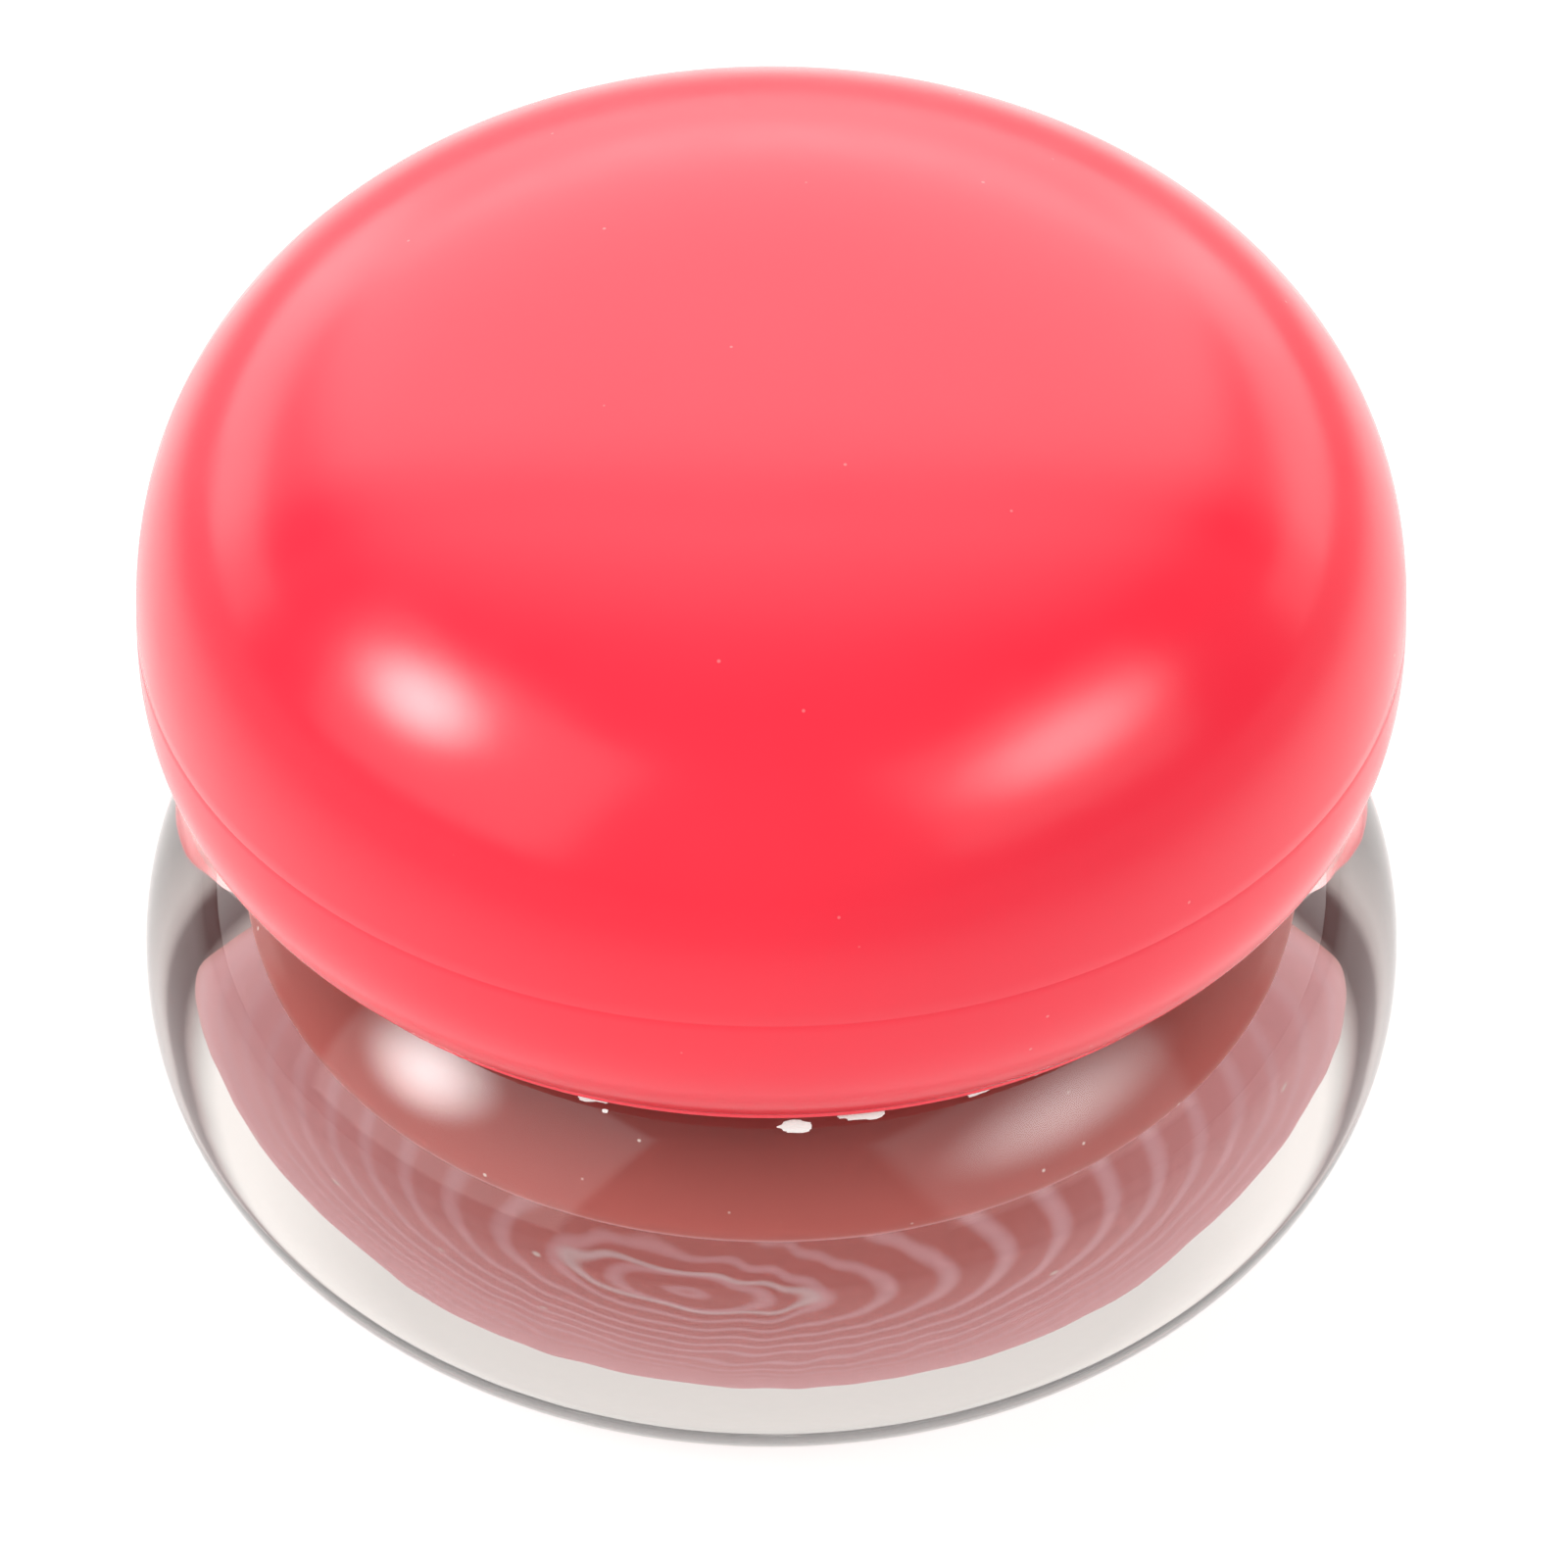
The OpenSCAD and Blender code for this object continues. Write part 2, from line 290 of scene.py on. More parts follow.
class Paint:
    """Small helper that builds one node material."""

    def __init__(self, name, colour, roughness, **sockets):
        self.material = bpy.data.materials.new(name)
        self.material.use_nodes = True
        self.tree = self.material.node_tree
        self.shader = self.tree.nodes["Principled BSDF"]
        self.shader.inputs["Base Color"].default_value = (*colour, 1)
        self.shader.inputs["Roughness"].default_value = roughness
        for socket, value in sockets.items():
            self.shader.inputs[socket.replace("_", " ")].default_value = value
        self.place = self.add("ShaderNodeTexCoord").outputs["Object"]

    def add(self, kind, **values):
        """A node, with its properties or its inputs set by name."""
        node = self.tree.nodes.new(kind)
        for key, value in values.items():
            label = key.replace("_", " ")
            if label in node.inputs:
                node.inputs[label].default_value = value
            else:
                setattr(node, key, value)
        return node

    def link(self, source, target):
        self.tree.links.new(source, target)

    def noise(self, scale, detail=4.0, distortion=0.0):
        """Noise with features about 1 / scale metres across."""
        node = self.add("ShaderNodeTexNoise", Scale=scale, Detail=detail, Distortion=distortion)
        self.link(self.place, node.inputs["Vector"])
        return node.outputs["Fac"]

    def ranged(self, value, low, high, out_low, out_high):
        """The value with low to high mapped to out_low to out_high, and clamped."""
        node = self.add("ShaderNodeMapRange")
        set_range(node, low, high, out_low, out_high)
        self.link(value, node.inputs["Value"])
        return node.outputs["Result"]

    def math(self, operation, a, b=None):
        """One step of arithmetic on numbers or sockets."""
        node = self.add("ShaderNodeMath", operation=operation)
        for socket, value in zip(node.inputs, (a, b)):
            if value is None:
                continue
            if isinstance(value, (int, float)):
                socket.default_value = value
            else:
                self.link(value, socket)
        return node.outputs[0]

    def mix(self, factor, a, b):
        """Colour a where factor is 0 and b where it is 1; either may be a colour or a socket."""
        node = self.add("ShaderNodeMix", data_type="RGBA")
        self.link(factor, node.inputs[0])
        for socket, value in zip((node.inputs[6], node.inputs[7]), (a, b)):
            if isinstance(value, tuple):
                socket.default_value = (*value, 1)
            else:
                self.link(value, socket)
        return node.outputs[2]

    def span(self, centre, scale=(1, 1, 1)):
        """Distance in metres from a spot given in millimetres, with each direction scaled."""
        offset = self.add("ShaderNodeVectorMath", operation="SUBTRACT")
        self.link(self.place, offset.inputs[0])
        offset.inputs[1].default_value = Vector(centre) * MM
        scaled = self.add("ShaderNodeVectorMath", operation="MULTIPLY")
        self.link(offset.outputs["Vector"], scaled.inputs[0])
        scaled.inputs[1].default_value = scale
        reach = self.add("ShaderNodeVectorMath", operation="LENGTH")
        self.link(scaled.outputs["Vector"], reach.inputs[0])
        return reach.outputs["Value"]

    def ripple(self, span, pitch, shift=None):
        """A sine wave, -1 to 1, along a distance; shift moves its phase."""
        phase = self.math("MULTIPLY", span, 2 * math.pi / (pitch * MM))
        return self.math("SINE", phase if shift is None else self.math("ADD", phase, shift))

    def specks(self, scale, size):
        """1 on sparse dots of about size / scale metres, 0 elsewhere."""
        node = self.add("ShaderNodeTexVoronoi", Scale=scale)
        self.link(self.place, node.inputs["Vector"])
        return self.ranged(node.outputs["Distance"], size, size * 0.5, 0.0, 1.0)

    def bump(self, height, strength, distance):
        """Small relief in the shading, up to distance metres high."""
        node = self.add("ShaderNodeBump", Strength=strength, Distance=distance)
        self.link(height, node.inputs["Height"])
        self.link(node.outputs["Normal"], self.shader.inputs["Normal"])

    def wear(self, socket, value):
        """Puts a value that varies over the surface on the shader."""
        self.link(value, self.shader.inputs[socket])


def coral_gloss():
    """Glossy moulded coral plastic with faint flow marks, dust and slightly uneven gloss."""
    paint = Paint("coral_gloss", (0.89, 0.021, 0.048), 0.2, IOR=1.5)
    mottle = paint.noise(90.0, 3.0)
    dust = paint.specks(330.0, 0.03)
    tone = paint.mix(mottle, (0.87, 0.019, 0.044), (0.91, 0.023, 0.052))
    paint.wear("Base Color", paint.mix(paint.math("MULTIPLY", dust, 0.25), tone, (0.95, 0.55, 0.55)))
    paint.wear("Roughness", paint.ranged(paint.noise(260.0, 6.0), 0.3, 0.7, 0.17, 0.23))
    paint.bump(paint.noise(1400.0, 5.0), 0.02, 0.0002)
    return paint.material


def clear_acrylic():
    """Polished clear acrylic, faintly wavy, with shallow rings round the gate mark in its base."""
    paint = Paint("clear_acrylic", (0.95, 0.925, 0.905), 0.0, IOR=1.49, Transmission_Weight=1.0)
    span = paint.span((GATE_X, GATE_Y, 0))
    near = paint.ranged(span, GATE_R * MM, GROOVES_R * MM, 1.0, 0.0)
    grooves = paint.math("MULTIPLY", paint.ripple(span, GROOVE_PITCH), near)
    height = paint.math("ADD", paint.math("MULTIPLY", grooves, 0.015), paint.noise(160.0, 2.0))
    paint.bump(height, 0.02, 0.0006)
    return paint.material


def friction_compound():
    """Tacky brown compound, marbled by kneading and gritty. Its wall has painted light, lighter towards
    the bottom where it meets the underside. Its underside, set against the bore's floor, is paler
    towards the wall, with oval rings round one pale oval line."""
    paint = Paint("friction_compound", (0.30, 0.036, 0.028), 0.42, IOR=1.5, Specular_IOR_Level=0.2)
    marble = paint.noise(130.0, 5.0, distortion=1.2)
    dark = paint.mix(marble, (0.175, 0.0045, 0.003), (0.245, 0.012, 0.008))
    split = paint.add("ShaderNodeSeparateXYZ")
    paint.link(paint.place, split.inputs[0])
    level = split.outputs["Z"]
    # Painted light: the wall's colour grows lighter towards its bottom, to meet the paler underside.
    height = paint.ranged(level, FLOOR_Z * MM, BALL_EDGE_Z * MM, 0.0, 1.0)
    side = paint.mix(height, (0.6, 0.135, 0.115), dark)

    mark = (MARK_X, MARK_Y, FLOOR_Z)
    shift = paint.math("MULTIPLY", paint.noise(90.0, 2.0), 0.4)
    wave = paint.ripple(paint.span(mark, (1, 2, 1)), RING_PITCH, shift)
    patchy = paint.ranged(paint.noise(60.0, 3.0), 0.35, 0.65, 0.2, 0.9)
    rings = paint.math("MULTIPLY", paint.ranged(wave, 0.1, 1.0, 0.0, 1.0), patchy)
    outward = paint.ranged(paint.span((0, 0, 0), (1, 1, 0)), PALE_FROM_R * MM, PALE_TO_R * MM, 0.0, 1.0)
    ground = paint.mix(outward, (0.62, 0.16, 0.145), (0.86, 0.42, 0.45))
    underside = paint.mix(rings, ground, (0.86, 0.46, 0.50))
    is_under = paint.ranged(level, (FLOOR_Z + UNDER_FROM) * MM, (FLOOR_Z + UNDER_TO) * MM, 1.0, 0.0)
    tone = paint.mix(is_under, side, underside)

    off = paint.math("ABSOLUTE", paint.math("SUBTRACT", paint.span(mark, (1, 3, 3)), MARK_R * MM))
    line = paint.ranged(off, MARK_LINE * MM, MARK_BLUR * MM, 0.6, 0.0)
    tone = paint.mix(line, tone, (0.9, 0.75, 0.78))
    grit = paint.math("MULTIPLY", paint.specks(700.0, 0.07), 0.8)
    paint.wear("Base Color", paint.mix(grit, tone, (0.95, 0.82, 0.76)))
    paint.bump(paint.noise(700.0, 4.0), 0.12, 0.0002)
    return paint.material


def satin_white():
    """Satin white moulded plastic of the threaded insert."""
    paint = Paint("satin_white", (0.84, 0.84, 0.82), 0.38, IOR=1.49)
    paint.wear("Base Color", paint.mix(paint.noise(120.0), (0.80, 0.80, 0.78), (0.87, 0.87, 0.85)))
    paint.bump(paint.noise(1500.0, 4.0), 0.08, 0.0001)
    return paint.material


def milky_seal():
    """Natural, slightly milky plastic of the sealing disc."""
    paint = Paint("milky_seal", (0.86, 0.87, 0.87), 0.32, IOR=1.5, Subsurface_Weight=0.3)
    paint.shader.inputs["Subsurface Radius"].default_value = (0.002, 0.002, 0.002)
    paint.wear("Base Color", paint.mix(paint.noise(150.0), (0.82, 0.84, 0.85), (0.9, 0.9, 0.89)))
    paint.bump(paint.noise(1100.0, 4.0), 0.06, 0.0001)
    return paint.material


def liner_foam():
    """Fine closed-cell foam."""
    paint = Paint("liner_foam", (0.9, 0.9, 0.88), 0.7, IOR=1.45)
    cells = paint.add("ShaderNodeTexVoronoi", Scale=2600.0)
    paint.link(paint.place, cells.inputs["Vector"])
    shade = paint.ranged(cells.outputs["Distance"], 0.0, 0.8, 0.0, 1.0)
    paint.wear("Base Color", paint.mix(shade, (0.93, 0.93, 0.91), (0.8, 0.8, 0.78)))
    paint.bump(cells.outputs["Distance"], 0.5, 0.0002)
    return paint.material


# ---------------------------------------------------------------- pieces


def finish_piece(obj, material, body, slot, *nodes):
    """Gives a piece its material and body, and hides the CAD nodes that it stands in for. Its slot is
    not used.
    """
    obj.data.materials.append(material)
    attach(obj, body)
    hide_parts(*nodes)
    return obj


def pot_outline():
    """Outline of the jar from the base's centre up the outside and down the bore to its floor."""
    base_r = lobe_r(JAR_R, JAR_LOW_H, JAR_LOW_EXP, JAR_MID_Z)
    slope = math.atan2(
        (JAR_MID_Z / JAR_LOW_H) ** (JAR_LOW_EXP - 1) / JAR_LOW_H,
        (base_r / JAR_R) ** (JAR_LOW_EXP - 1) / JAR_R,
    )
    turn = 90 - math.degrees(slope)
    start_r = base_r - BASE_BLEND * math.tan(math.radians(turn / 2))
    blend = arc(start_r, BASE_BLEND, BASE_BLEND, BASE_BLEND, -90, -90 + turn)
    shoulder_r = NECK_R + SHOULDER_ROUND
    shoulder_z = JAR_MID_Z + lobe_z(JAR_R, JAR_UP_H, JAR_UP_EXP, shoulder_r)
    lower = lobe_run(JAR_R, JAR_LOW_H, JAR_LOW_EXP, JAR_MID_Z, -1, JAR_MID_Z - blend[-1][1], 0.0)
    upper = lobe_run(JAR_R, JAR_UP_H, JAR_UP_EXP, JAR_MID_Z, 1, 0.0, shoulder_z - JAR_MID_Z)
    neck_start = (NECK_R, shoulder_z + SHOULDER_ROUND)
    neck_end = (NECK_R, NECK_TOP - NECK_ROUND)
    wall = [neck_start, *straight(neck_start, neck_end, 70)]
    rim = arc(NECK_R - NECK_ROUND, NECK_TOP - NECK_ROUND, NECK_ROUND, NECK_ROUND, 0, 90)
    mouth = arc(BORE_R + NECK_ROUND, NECK_TOP - NECK_ROUND, NECK_ROUND, NECK_ROUND, 90, 180)
    bowl = bowl_run(0.0)
    side = straight(mouth[-1], bowl[0], 24)
    return [(0.0, 0.0), *blend, *lower[1:], *upper[1:], *wall, *rim, *mouth, *side, *bowl]


def bowl_run(spread):
    """The bore's floor from the wall to the axis, rounded at the corner and grown by spread."""
    corner = arc(
        BORE_R - CORNER_R, FLOOR_Z + CORNER_R, CORNER_R + spread, CORNER_R + spread, 0, -90, 12
    )
    return [*corner, *straight(corner[-1], (0.0, corner[-1][1]), 20), (0.0, corner[-1][1])]


def pot():
    """Clear body of the jar: bun-shaped lobe, threaded neck and a bore with a flat floor."""
    shoulder_z = JAR_MID_Z + lobe_z(JAR_R, JAR_UP_H, JAR_UP_EXP, NECK_R + SHOULDER_ROUND)

    def threads(angle, r, z):
        if abs(r - NECK_R) > 0.01 or z > NECK_TOP - NECK_ROUND:
            return r, z
        return r + ridge(angle, z, shoulder_z + THREAD_BASE), z

    obj = revolve("pot", pot_outline(), threads)
    return finish_piece(obj, clear_acrylic(), "jar", "clear_acrylic", "jar_body")


def layered(spot, layers):
    """Noise at a spot in millimetres, summed over (scale, height) layers."""
    return sum(noise.noise(spot * scale) * height for scale, height in layers)


def ball():
    """The friction ball after it has slumped into the pot and wetted its wall. Its top is lumpy, and
    near its edge, most of all at DRY_AT, pockets of air keep it off the wall."""
    touch_r = BORE_R + FILL_GAP
    bowl = list(reversed(bowl_run(FILL_GAP)))
    side = straight(bowl[-1], (touch_r, BALL_EDGE_Z), 48)
    crown = arc(0, BALL_EDGE_Z, touch_r, BALL_CROWN * 0.5, 0, 90, 60)
    crown[-1] = (0.0, crown[-1][1])

    def lumps(angle, r, z):
        if z < FLOOR_Z + CORNER_R:
            return r, z
        spot = Vector((math.cos(angle) * r, math.sin(angle) * r, z))
        wave = layered(spot, LUMPS)
        if r < touch_r - 0.01:
            return r, z + wave
        near_top = max(0.0, 1 - (BALL_EDGE_Z - z) / LIP_H)
        around = Vector((math.cos(angle), math.sin(angle), z * 0.08)) * touch_r
        dry = DRY_PULL * math.exp(-(((angle - DRY_AT) / DRY_SPAN) ** 2))
        ragged = layered(around, RAGGED) - dry
        gap = max(0.0, near_top * POCKET_RISE - POCKET_START - ragged * POCKET_RAGGED)
        return r - POCKET_DEPTH * gap, z + wave * near_top

    outline = [*bowl, *side, *crown]
    obj = revolve("ball", outline, lumps)
    return finish_piece(obj, friction_compound(), "jar", "friction_compound", "friction_ball")


def shell():
    """Coral cap: bun-shaped outside, straight socket for the insert and a hollow dome."""
    top_z = CAP_RIM_Z + CAP_RIM_ROUND
    rim_r = lobe_r(CAP_R, CAP_SKIRT_H, CAP_SKIRT_EXP, CAP_MID_Z - top_z)
    inner = arc(SOCKET_R + CAP_RIM_ROUND, top_z, CAP_RIM_ROUND, CAP_RIM_ROUND, 180, 270)
    outer = arc(rim_r - CAP_RIM_ROUND, top_z, CAP_RIM_ROUND, CAP_RIM_ROUND, 270, 360)
    skirt = lobe_run(CAP_R, CAP_SKIRT_H, CAP_SKIRT_EXP, CAP_MID_Z, -1, CAP_MID_Z - top_z, 0.0)
    dome = lobe_run(CAP_R, CAP_DOME_H, CAP_DOME_EXP, CAP_MID_Z, 1, 0.0, CAP_DOME_H, 72)
    dome[-1] = (0.0, CAP_TOP_Z)
    hollow_r, hollow_h = CAP_R - CAP_SIDE_WALL, CAP_DOME_H - CAP_TOP_WALL
    ledge_z = INSERT_HIGH.z + INSERT_GAP
    hollow = lobe_run(
        hollow_r, hollow_h, CAP_DOME_EXP, CAP_MID_Z, 1, hollow_h, ledge_z - CAP_MID_Z
    )
    hollow[0] = (0.0, CAP_MID_Z + hollow_h)
    seam = [
        (CAP_R, CAP_MID_Z - SEAM_HALF),
        (CAP_R - SEAM_DEPTH, CAP_MID_Z - SEAM_HALF * 0.3),
        (CAP_R - SEAM_DEPTH, CAP_MID_Z + SEAM_HALF * 0.3),
        (CAP_R, CAP_MID_Z + SEAM_HALF),
    ]
    lower = [p for p in skirt if p[1] < CAP_MID_Z - SEAM_HALF * 2]
    upper = [p for p in dome if p[1] > CAP_MID_Z + SEAM_HALF * 2]
    socket = [(SOCKET_R, ledge_z), *straight((SOCKET_R, ledge_z), inner[0], 12)]
    outline = [*hollow, *socket, *inner, *outer[1:], *lower[1:], *seam, *upper]
    obj = revolve("dome_cap", outline, sharp=50.0)
    return finish_piece(obj, coral_gloss(), "cap", "coral_gloss", "cap_shell")


def insert():
    """White threaded insert snapped into the cap."""
    low_z, roof_z, top_z = INSERT_LOW.z, INSERT_HIGH.z - INSERT_ROOF, INSERT_HIGH.z
    edge = EDGE_R
    shoulder_z = JAR_MID_Z + lobe_z(JAR_R, JAR_UP_H, JAR_UP_EXP, NECK_R + SHOULDER_ROUND)
    thread_z = shoulder_z + THREAD_BASE - THREAD_PITCH / 2
    bead = arc(INSERT_OUT_R, CAP_RIM_Z + BEAD_UP, BEAD_R, BEAD_R, -90, 90)
    outside = [
        *arc(INSERT_IN_R + edge, low_z + edge, edge, edge, 180, 270, 4),
        *arc(INSERT_OUT_R - edge, low_z + edge, edge, edge, 270, 360, 4),
        *bead,
        *arc(INSERT_OUT_R - edge, top_z - edge, edge, edge, 0, 90, 4),
        (0.0, top_z),
    ]
    inside = [(0.0, roof_z), (INSERT_IN_R - edge, roof_z), (INSERT_IN_R, roof_z - edge)]
    wall = straight(inside[-1], outside[0], 80)

    def threads(angle, r, z):
        if abs(r - INSERT_IN_R) > 0.01 or z > roof_z - 2 * edge or z < low_z + edge:
            return r, z
        return r - ridge(angle, z, thread_z), z

    obj = revolve("thread_insert", [*inside, *wall, *outside], threads)
    return finish_piece(obj, satin_white(), "cap", "insert_plastic", "cap_insert")


def liner():
    """Loose foam disc in the roof of the cap."""
    edge = LINER_EDGE
    r, low_z, top_z = LINER_HIGH.x, LINER_LOW.z, LINER_HIGH.z
    outline = [
        (0.0, low_z),
        *arc(r - edge, low_z + edge, edge, edge, -90, 0, 4),
        *arc(r - edge, top_z - edge, edge, edge, 0, 90, 4),
        (0.0, top_z),
    ]
    obj = revolve("foam_liner", outline)
    return finish_piece(obj, liner_foam(), "liner", "liner_foam", "cap_liner")


def seal():
    """Sealing disc: flange on the neck's rim, plug skirt in the bore, a sunk face and a pull tab."""
    plug_r, t = BORE_R - SEAL_PLUG_GAP, SEAL_WALL
    face_z, top_z, low_z = NECK_TOP - SEAL_SUNK, SEAL_HIGH.z, SEAL_LOW.z
    flange_low = top_z - t
    outline = [
        (0.0, face_z - t),
        (plug_r - t, face_z - t),
        (plug_r - t, low_z + 0.1),
        (plug_r - t + 0.1, low_z),
        (plug_r - t / 3, low_z),
        (plug_r, low_z + t),
        (plug_r, flange_low),
        *arc(NECK_R - EDGE_R, flange_low + EDGE_R, EDGE_R, EDGE_R, -90, 0, 4),
        *arc(NECK_R - EDGE_R, top_z - EDGE_R, EDGE_R, EDGE_R, 0, 90, 4),
        *arc(plug_r - t + EDGE_R, top_z - EDGE_R, EDGE_R, EDGE_R, 90, 180, 4),
        (plug_r - t, face_z + 0.2),
        (plug_r - t - 0.2, face_z),
        (0.0, face_z),
    ]
    tip_x, tab_z = TAB_L / 2 - TAB_W / 2, face_z + TAB_GAP
    tip = [(tip_x + x, y) for x, y in arc(0, 0, TAB_W / 2, TAB_W / 2, -90, 90, 24)]
    plan = [(-TAB_L / 2, -TAB_W / 2), *tip, (-TAB_L / 2, TAB_W / 2)]
    plate = slab("tab_plate", plan, tab_z, tab_z + TAB_T, TAB_EDGE)
    left, right = -TAB_L / 2 + TAB_INSET, -TAB_L / 2 + TAB_POST
    half = TAB_W / 2 - TAB_INSET
    foot = [(left, -half), (right, -half), (right, half), (left, half)]
    post = slab("tab_post", foot, face_z - t / 2, tab_z + TAB_T / 2, POST_EDGE)
    obj = merge(revolve("sealing_disc", outline), plate, post)
    return finish_piece(obj, milky_seal(), "seal", "seal_plastic", "seal_disc")


# ---------------------------------------------------------------- camera, light and floor

CAMERA_ELEVATION = math.radians(40.87)
CAMERA_DISTANCE = 30 * CAP_R
IMAGE_SIDE = 1600
CAP_PIXELS = 648.0
AIM_RIGHT = 0.5
AIM_DOWN = 7.04


def aim(obj, direction):
    """Points a camera or light the opposite way to a direction."""
    obj.rotation_mode = "QUATERNION"
    obj.rotation_quaternion = (-direction).to_track_quat("-Z", "Y")


def make_camera():
    """A long lens from the front, looking down at the photographed angle."""
    back = Vector((0, -math.cos(CAMERA_ELEVATION), math.sin(CAMERA_ELEVATION)))
    up = Vector((0, math.sin(CAMERA_ELEVATION), math.cos(CAMERA_ELEVATION)))
    target = Vector((AIM_RIGHT, 0, CAP_MID_Z)) - up * AIM_DOWN
    camera = bpy.data.objects.new("camera", bpy.data.cameras.new("camera"))
    bpy.context.scene.collection.objects.link(camera)
    camera.location = (target + back * CAMERA_DISTANCE) * MM
    aim(camera, back)
    data = camera.data
    data.sensor_width = 36
    data.lens = CAP_PIXELS / CAP_R * CAMERA_DISTANCE * data.sensor_width / IMAGE_SIDE
    data.clip_start, data.clip_end = 0.01, 20
    bpy.context.scene.camera = camera


def fading_light(name, shape, size, radiance, location, direction, fade):
    """An area light with its radiance in W per square metre and steradian. It dims to nothing at its
    edge, over the given share of its half width."""
    light = bpy.data.lights.new(name, "AREA")
    light.shape = shape
    light.size, light.size_y = size
    share = math.pi / 4 if shape == "ELLIPSE" else 1.0
    light.energy = radiance * math.pi * share * size[0] * size[1]
    light.use_nodes = True
    tree = light.node_tree
    place = tree.nodes.new("ShaderNodeNewGeometry").outputs["Parametric"]
    centred = tree.nodes.new("ShaderNodeVectorMath")
    centred.operation = "SUBTRACT"
    centred.inputs[1].default_value = (0.5, 0.5, 0.0)
    tree.links.new(place, centred.inputs[0])
    reach = tree.nodes.new("ShaderNodeVectorMath")
    tree.links.new(centred.outputs["Vector"], reach.inputs[0])
    if shape == "ELLIPSE":
        reach.operation = "LENGTH"
        distance = reach.outputs["Value"]
    else:
        reach.operation = "ABSOLUTE"
        sides = tree.nodes.new("ShaderNodeSeparateXYZ")
        tree.links.new(reach.outputs["Vector"], sides.inputs[0])
        furthest = tree.nodes.new("ShaderNodeMath")
        furthest.operation = "MAXIMUM"
        tree.links.new(sides.outputs["X"], furthest.inputs[0])
        tree.links.new(sides.outputs["Y"], furthest.inputs[1])
        distance = furthest.outputs[0]
    falloff = tree.nodes.new("ShaderNodeMapRange")
    falloff.interpolation_type = "SMOOTHSTEP"
    set_range(falloff, 0.5 * (1 - fade), 0.5, 1.0, 0.0)
    tree.links.new(distance, falloff.inputs["Value"])
    tree.links.new(falloff.outputs["Result"], tree.nodes["Emission"].inputs["Strength"])
    obj = bpy.data.objects.new(name, light)
    bpy.context.scene.collection.objects.link(obj)
    obj.location = location
    aim(obj, direction)
    return obj


def softbox(name, azimuth, elevation, distance, shape, size, radiance, fade):
    """A softbox aimed at the cap. Azimuth runs from straight in front, positive to the right."""
    a, e = math.radians(azimuth), math.radians(elevation)
    direction = Vector((math.sin(a) * math.cos(e), -math.cos(a) * math.cos(e), math.sin(e)))
    location = Vector((0, 0, CAP_MID_Z * MM)) + direction * distance
    return fading_light(name, shape, size, radiance, location, direction, fade)


# Name, azimuth, elevation, distance in metres, shape, size in metres, radiance and fade.
SOFTBOXES = (
    ("left_softbox", -72, 32, 0.8, "ELLIPSE", (0.44, 0.44), 18, 1.0),
    ("left_panel", -60, 27, 0.86, "RECTANGLE", (0.9, 0.76), 1.3, 0.12),
    ("right_softbox", 58, 32, 0.8, "ELLIPSE", (0.8, 0.4), 7, 1.0),
    ("right_panel", 54, 29, 0.86, "RECTANGLE", (0.86, 0.66), 0.9, 0.2),
)
# Name, place and size in metres, and radiance.
WALLS = (
    ("left_wall", (-1.6, 1.5, 0.3), (2.8, 1.0), 1.5),
    ("right_wall", (1.6, 1.5, 0.3), (2.8, 1.0), 1.3),
    ("back_wall", (0, 2.4, 0.4), (3.4, 1.2), 0.9),
    ("fill", (0, -1.6, 0.7), (2.6, 1.6), 0.2),
)
WALL_FADE = 0.5
CANOPY_PLACE, CANOPY_SIZE = (0, 1.38, 0.65), (2.3, 3.4)
CANOPY_RADIANCE, CANOPY_FADE = 1.5, 0.35
FLOOR_SIZE, FLOOR_DROP = 3.0, 0.0001
# Painted light on the floor: a glowing pool round the object, and painted shade under the jar's base.
POOL_Y, POOL_R, POOL_FADE_R = 30.0, 80.0, 160.0
SHADE_R, SHADE_FADE_R = 18.5, 19.7
POOL_GLOW, ROOM_GLOW, SHADE_LEVEL = 0.85, 0.1, 0.7
# The y of a direction, the brightness there, and how much of its green and blue is left.
ROOM_LEVELS = (
    (-1, 0.5, 1),
    (-0.3, 0.36, 1),
    (-0.1, 0.12, 1),
    (0.2, 0.25, 0.95),
    (0.3, 0.5, 0.92),
    (0.335, 0.4, 0.85),
    (0.362, 0.08, 0.35),
    (0.43, 0.07, 0.3),
    (0.455, 0.38, 0.8),
    (0.5, 0.75, 1),
    (0.54, 1.02, 1),
    (0.6, 1.02, 1),
    (0.66, 0.95, 1),
    (0.78, 0.77, 1),
)
ROOM_GREEN, ROOM_BLUE = 0.965, 0.935


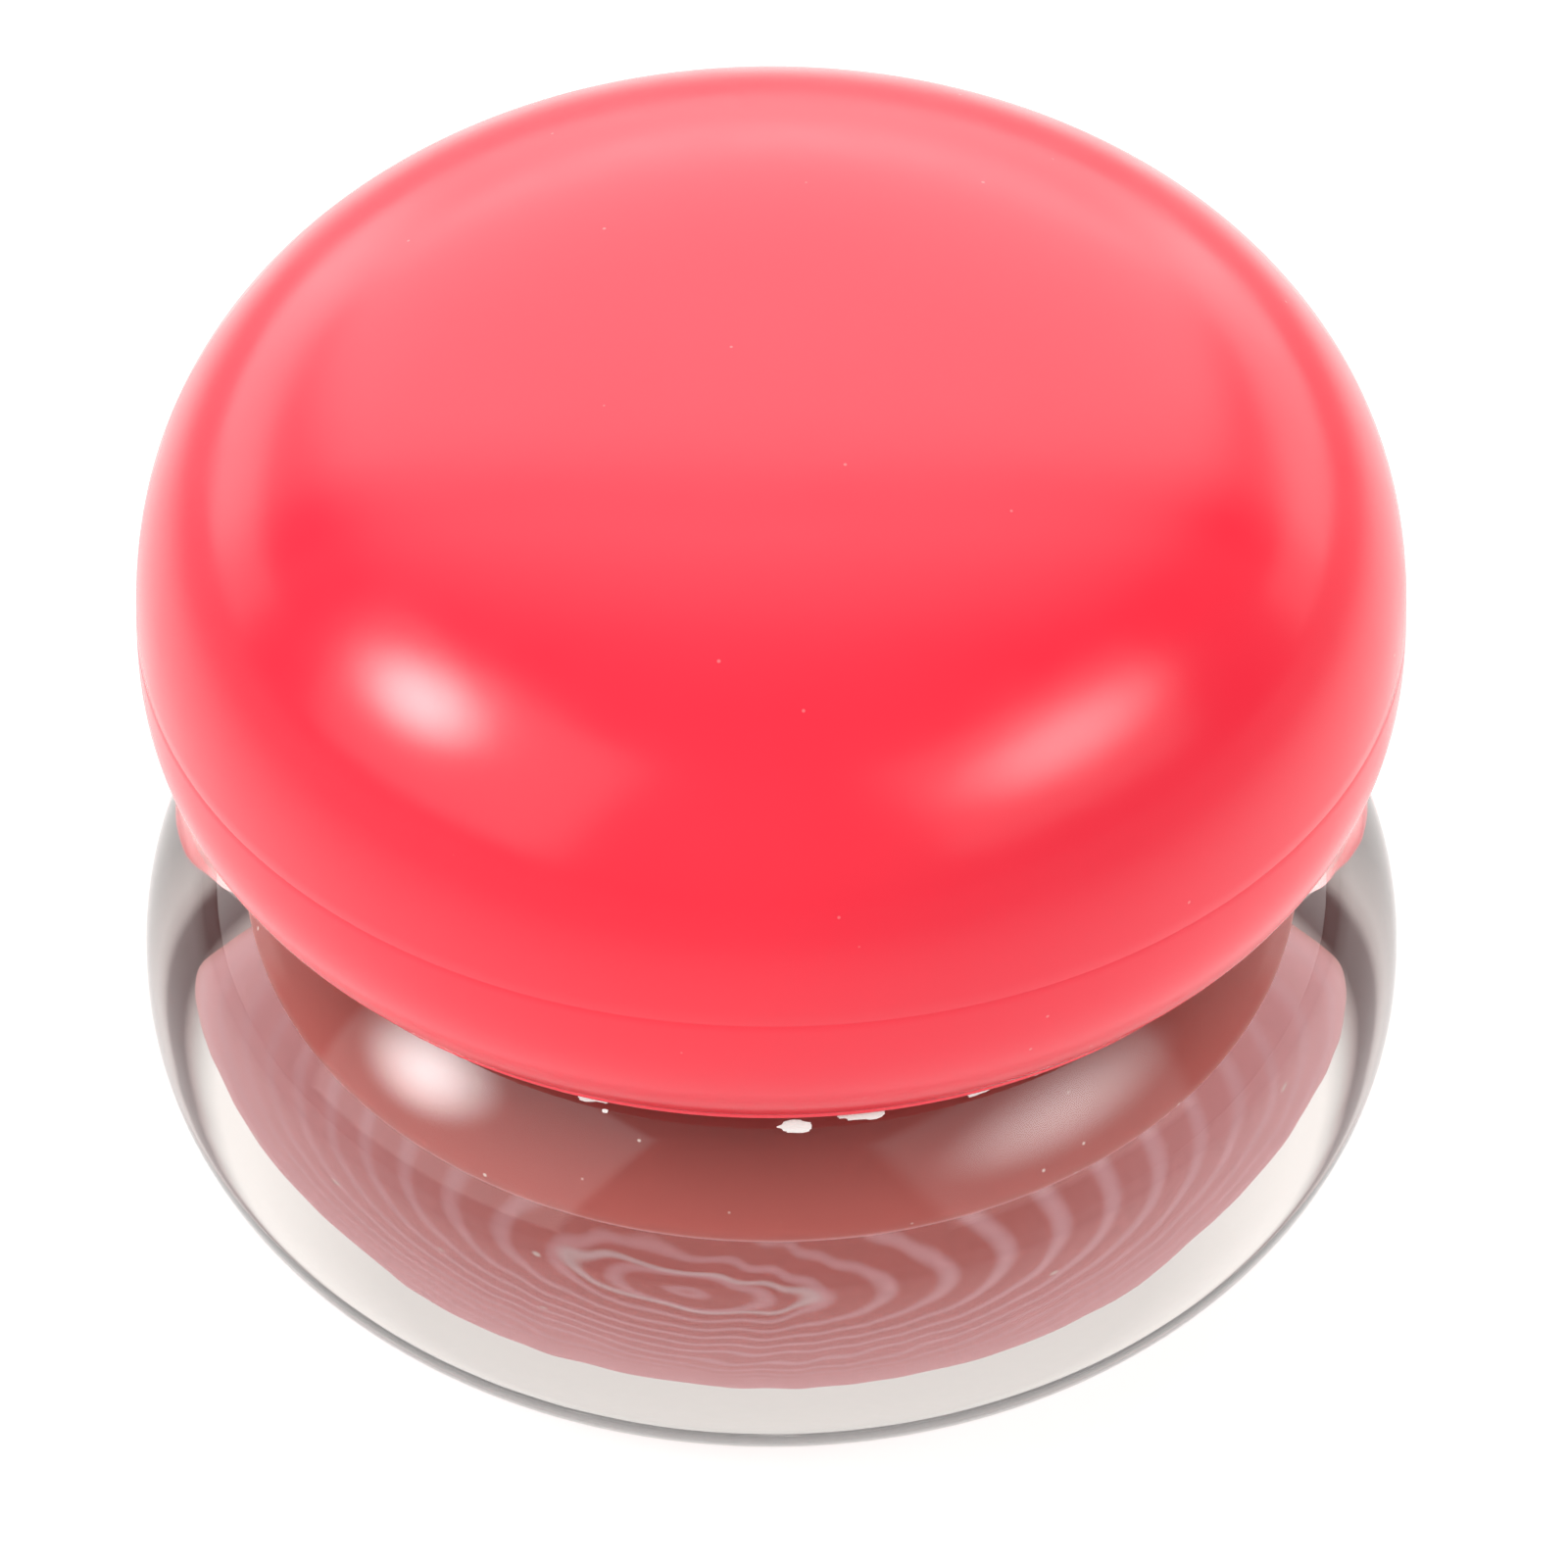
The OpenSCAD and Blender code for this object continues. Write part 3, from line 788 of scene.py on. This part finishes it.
def make_floor():
    """White floor that glows, in a painted pool of light with painted shade right under the jar's base.
    """
    mesh = bpy.data.meshes.new("floor")
    corners = [(FLOOR_SIZE * x, FLOOR_SIZE * y, 0) for x, y in ((-1, -1), (1, -1), (1, 1), (-1, 1))]
    mesh.from_pydata(corners, [], [(0, 1, 2, 3)])
    floor = bpy.data.objects.new("floor", mesh)
    bpy.context.scene.collection.objects.link(floor)
    floor.location.z = -FLOOR_DROP
    paint = Paint("floor_white", (0.3, 0.3, 0.3), 0.7, Specular_IOR_Level=0.1)
    # The floor's glow is painted light: a pool of it round the object, and painted shadow under the
    # jar's base.
    pool = paint.ranged(paint.span((0, POOL_Y, 0)), POOL_R * MM, POOL_FADE_R * MM, POOL_GLOW, ROOM_GLOW)
    shade = paint.ranged(paint.span((0, 0, 0)), SHADE_R * MM, SHADE_FADE_R * MM, SHADE_LEVEL, 1.0)
    paint.shader.inputs["Emission Color"].default_value = (1, 0.985, 0.97, 1)
    paint.wear("Emission Strength", paint.math("MULTIPLY", pool, shade))
    paint.wear("Base Color", paint.mix(paint.noise(40.0), (0.29, 0.29, 0.29), (0.32, 0.32, 0.32)))
    mesh.materials.append(paint.material)


def wall(name, place, size, radiance):
    """A lit studio wall facing the object, bright enough for gloss but hidden from the clear jar."""
    location = Vector(place)
    away = Vector((location.x, location.y, 0)).normalized()
    light = fading_light(name, "RECTANGLE", size, radiance, location, away, WALL_FADE)
    light.visible_transmission = False
    return light


def make_world():
    """Pale room, brightest behind the object, with a dark maroon band on each side that shows
    through the jar's sides."""
    world = bpy.data.worlds.new("studio")
    world.use_nodes = True
    tree = world.node_tree
    background = tree.nodes["Background"]
    heading = tree.nodes.new("ShaderNodeSeparateXYZ")
    tree.links.new(tree.nodes.new("ShaderNodeTexCoord").outputs["Generated"], heading.inputs[0])
    depth = tree.nodes.new("ShaderNodeMapRange")
    depth.inputs["From Min"].default_value = -1.0
    tree.links.new(heading.outputs["Y"], depth.inputs["Value"])
    ramp = tree.nodes.new("ShaderNodeValToRGB")
    stops = ramp.color_ramp.elements
    for number, (y, level, cool) in enumerate(ROOM_LEVELS):
        if number > 1:  # a new ramp has two stops
            stops.new(1.0)
        stops[number].position = (y + 1) / 2
        stops[number].color = (level, ROOM_GREEN * level * cool, ROOM_BLUE * level * cool, 1)
    tree.links.new(depth.outputs["Result"], ramp.inputs[0])
    tree.links.new(ramp.outputs["Color"], background.inputs["Color"])
    bpy.context.scene.world = world


def make_stage():
    """A canopy over and behind, lit walls, two softboxes in front with a dim panel round each, a
    broad fill, the floor and the room."""
    up, above = Vector((0, 0, 1)), Vector(CANOPY_PLACE)
    canopy = fading_light("canopy", "ELLIPSE", CANOPY_SIZE, CANOPY_RADIANCE, above, up, CANOPY_FADE)
    canopy.visible_transmission = False
    for row in SOFTBOXES:
        softbox(*row)
    *_, fill = [wall(*row) for row in WALLS]
    fill.visible_glossy = False
    make_floor()
    make_world()
    bpy.context.scene.view_settings.view_transform = "Standard"
    bpy.context.scene.cycles.max_bounces = 24
    bpy.context.scene.cycles.transmission_bounces = 20


pot()
ball()
seal()
liner()
insert()
shell()
make_camera()
make_stage()
